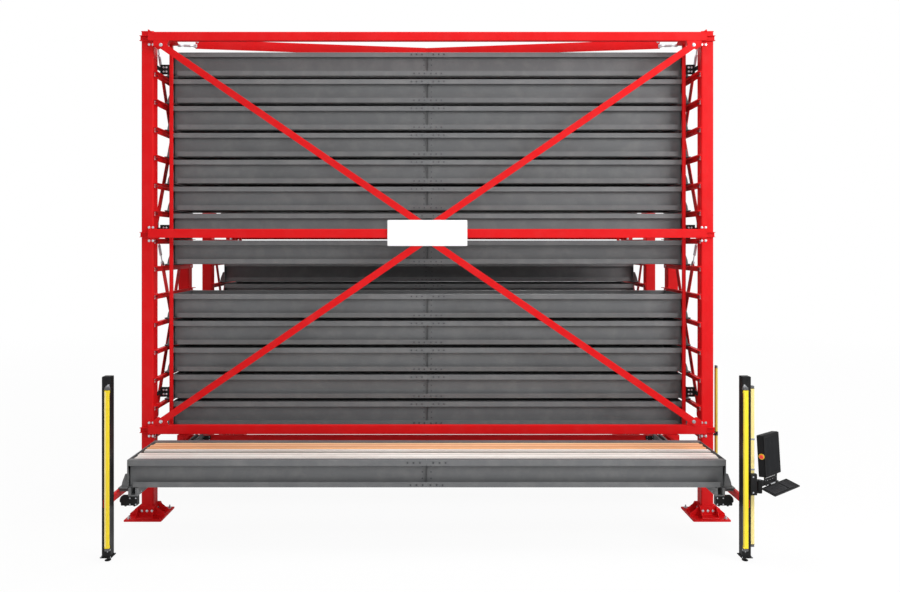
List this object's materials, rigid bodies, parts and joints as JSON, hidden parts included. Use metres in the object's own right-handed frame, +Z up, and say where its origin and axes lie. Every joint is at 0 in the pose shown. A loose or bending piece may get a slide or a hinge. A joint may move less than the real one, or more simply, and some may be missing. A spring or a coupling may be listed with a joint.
{
  "type": "bar stock storage tower",
  "caption": "Vertical storage tower for long bar stock: two red racks of grey trays with a lift aisle between, a delivery station in front, light curtains and an operator console.",
  "frame": {"origin": "on the floor in the middle of the lift aisle, at the centre of the floor anchor pattern", "axes": "+Z up, +X to the right seen from the delivery side, the delivery station towards -Y"},
  "size_m": [7.4121, 5.1748, 5.7925],
  "materials": {
    "frame_red": "satin red paint",
    "tray_grey": "satin grey paint",
    "zinc": "zinc plated",
    "bare_steel": "turned steel",
    "dark_steel": "satin black paint",
    "carriage_paint": "satin dark grey paint",
    "slide_plastic": "low friction plastic",
    "curtain_yellow": "satin yellow paint",
    "plate_white": "gloss white paint, bare",
    "screen_glass": "dark display, switched off",
    "housing": "moulded plastic",
    "signal_yellow": "moulded plastic",
    "signal_red": "moulded plastic",
    "copper": "drawn copper tube",
    "stock_steel": "bright drawn steel tube"
  },
  "bodies": {
    "frame": {"base_plates": "frame_red", "base_angles": "frame_red", "anchor_bolts": "zinc", "front_posts": "frame_red", "inner_posts": "frame_red", "rear_posts": "frame_red", "front_beams": "frame_red", "rear_beams": "frame_red", "frame_bolts": "zinc", "cross_braces": "frame_red", "side_braces": "frame_red", "roof_braces": "frame_red", "turnbuckles": "zinc", "tray_rails": "frame_red", "tray_retainers": "frame_red", "retainer_brackets": "dark_steel", "name_plate": "plate_white", "aisle_ties": "frame_red", "lift_chains": "dark_steel", "shaft_bearings": "dark_steel", "lift_gearmotor": "dark_steel", "delivery_rails": "tray_grey", "transfer_drives": "dark_steel", "delivery_arms": "frame_red", "curtain_posts": "dark_steel", "light_curtains": "curtain_yellow", "levelling_feet": "dark_steel"},
    "lift_carriage": {"carriage_frame": "carriage_paint", "guide_shoes": "slide_plastic"},
    "extractor": {"extractor_bars": "bare_steel"},
    "drive_shaft": {"lift_shaft": "bare_steel"},
    "idlers": {"idler_sprockets": "bare_steel"},
    "delivered_tray": {"delivery_tray": "tray_grey", "copper_stock": "copper", "steel_stock": "stock_steel"},
    "console_swing": {"console_arm": "dark_steel"},
    "console_head": {"monitor": "housing", "screen": "screen_glass", "estop_collar": "signal_yellow"},
    "estop_push": {"estop_button": "signal_red"},
    "keyboard_shelf": {"keyboard_tray": "dark_steel"},
    "body_front_tray_01": {"front_tray_01": "tray_grey"},
    "body_front_tray_02": {"front_tray_02": "tray_grey"},
    "body_front_tray_03": {"front_tray_03": "tray_grey"},
    "body_front_tray_04": {"front_tray_04": "tray_grey"},
    "body_front_tray_05": {"front_tray_05": "tray_grey"},
    "body_front_tray_07": {"front_tray_07": "tray_grey"},
    "body_front_tray_08": {"front_tray_08": "tray_grey"},
    "body_front_tray_09": {"front_tray_09": "tray_grey"},
    "body_front_tray_10": {"front_tray_10": "tray_grey"},
    "body_front_tray_11": {"front_tray_11": "tray_grey"},
    "body_front_tray_12": {"front_tray_12": "tray_grey"},
    "body_front_tray_13": {"front_tray_13": "tray_grey"},
    "body_front_tray_14": {"front_tray_14": "tray_grey"},
    "body_rear_tray_02": {"rear_tray_02": "tray_grey"},
    "body_rear_tray_05": {"rear_tray_05": "tray_grey"},
    "body_rear_tray_06": {"rear_tray_06": "tray_grey"},
    "body_rear_tray_09": {"rear_tray_09": "tray_grey"},
    "body_rear_tray_11": {"rear_tray_11": "tray_grey"},
    "body_rear_tray_13": {"rear_tray_13": "tray_grey"}
  },
  "joints": [
    {"name": "lift_travel", "type": "slide", "parent": "frame", "child": "lift_carriage", "axis": [0, 0, 1], "range_m": [0, 4.6365]},
    {"name": "drive_shaft_turn", "type": "hinge", "parent": "frame", "child": "drive_shaft", "pos_m": [0, 0, 5.7], "axis": [1, 0, 0], "range_deg": [-10, 3340]},
    {"name": "idler_turn", "type": "hinge", "parent": "frame", "child": "idlers", "pos_m": [0, 0, 0.3], "axis": [1, 0, 0], "range_deg": [-10, 3340]},
    {"name": "extractor_run", "type": "slide", "parent": "lift_carriage", "child": "extractor", "axis": [0, 1, 0], "range_m": [-0.33, 0.33]},
    {"name": "delivery_run", "type": "slide", "parent": "frame", "child": "delivered_tray", "axis": [0, 1, 0], "range_m": [0, 2.402]},
    {"name": "front_tray_01_run", "type": "slide", "parent": "frame", "child": "body_front_tray_01", "axis": [0, 1, 0], "range_m": [0, 1.099]},
    {"name": "front_tray_02_run", "type": "slide", "parent": "frame", "child": "body_front_tray_02", "axis": [0, 1, 0], "range_m": [0, 1.099]},
    {"name": "front_tray_03_run", "type": "slide", "parent": "frame", "child": "body_front_tray_03", "axis": [0, 1, 0], "range_m": [0, 1.099]},
    {"name": "front_tray_04_run", "type": "slide", "parent": "frame", "child": "body_front_tray_04", "axis": [0, 1, 0], "range_m": [0, 1.099]},
    {"name": "front_tray_05_run", "type": "slide", "parent": "frame", "child": "body_front_tray_05", "axis": [0, 1, 0], "range_m": [0, 1.099]},
    {"name": "front_tray_07_run", "type": "slide", "parent": "frame", "child": "body_front_tray_07", "axis": [0, 1, 0], "range_m": [0, 1.099]},
    {"name": "front_tray_08_run", "type": "slide", "parent": "frame", "child": "body_front_tray_08", "axis": [0, 1, 0], "range_m": [0, 1.099]},
    {"name": "front_tray_09_run", "type": "slide", "parent": "frame", "child": "body_front_tray_09", "axis": [0, 1, 0], "range_m": [0, 1.099]},
    {"name": "front_tray_10_run", "type": "slide", "parent": "frame", "child": "body_front_tray_10", "axis": [0, 1, 0], "range_m": [0, 1.099]},
    {"name": "front_tray_11_run", "type": "slide", "parent": "frame", "child": "body_front_tray_11", "axis": [0, 1, 0], "range_m": [0, 1.099]},
    {"name": "front_tray_12_run", "type": "slide", "parent": "frame", "child": "body_front_tray_12", "axis": [0, 1, 0], "range_m": [0, 1.099]},
    {"name": "front_tray_13_run", "type": "slide", "parent": "frame", "child": "body_front_tray_13", "axis": [0, 1, 0], "range_m": [0, 1.099]},
    {"name": "front_tray_14_run", "type": "slide", "parent": "frame", "child": "body_front_tray_14", "axis": [0, 1, 0], "range_m": [0, 1.099]},
    {"name": "rear_tray_02_run", "type": "slide", "parent": "frame", "child": "body_rear_tray_02", "axis": [0, 1, 0], "range_m": [-1.099, 0]},
    {"name": "rear_tray_05_run", "type": "slide", "parent": "frame", "child": "body_rear_tray_05", "axis": [0, 1, 0], "range_m": [-1.099, 0]},
    {"name": "rear_tray_06_run", "type": "slide", "parent": "frame", "child": "body_rear_tray_06", "axis": [0, 1, 0], "range_m": [-1.099, 0]},
    {"name": "rear_tray_09_run", "type": "slide", "parent": "frame", "child": "body_rear_tray_09", "axis": [0, 1, 0], "range_m": [-1.099, 0]},
    {"name": "rear_tray_11_run", "type": "slide", "parent": "frame", "child": "body_rear_tray_11", "axis": [0, 1, 0], "range_m": [-1.099, 0]},
    {"name": "rear_tray_13_run", "type": "slide", "parent": "frame", "child": "body_rear_tray_13", "axis": [0, 1, 0], "range_m": [-1.099, 0]},
    {"name": "console_swivel", "type": "hinge", "parent": "frame", "child": "console_swing", "pos_m": [3.394, -3.028, 0.785], "axis": [0, 0, 1], "range_deg": [-35, 25]},
    {"name": "monitor_tilt", "type": "hinge", "parent": "console_swing", "child": "console_head", "pos_m": [3.40303, -3.03998, 0.862], "axis": [0.7986, 0.6018, 0], "range_deg": [-2, 12]},
    {"name": "keyboard_tilt", "type": "hinge", "parent": "console_swing", "child": "keyboard_shelf", "pos_m": [3.41446, -3.05515, 0.785], "axis": [0.7986, 0.6018, 0], "range_deg": [-8, 12]},
    {"name": "estop_press", "type": "slide", "parent": "console_head", "child": "estop_push", "axis": [0.5184, 0.8548, -0.0227], "range_m": [0, 0.006], "stiffness_N_per_m": 600, "springref_m": -0.004}
  ],
  "couplings": [
    {"joint": "drive_shaft_turn", "follows": "lift_travel", "rad_per_m": 12.5},
    {"joint": "idler_turn", "follows": "lift_travel", "rad_per_m": 12.5}
  ]
}
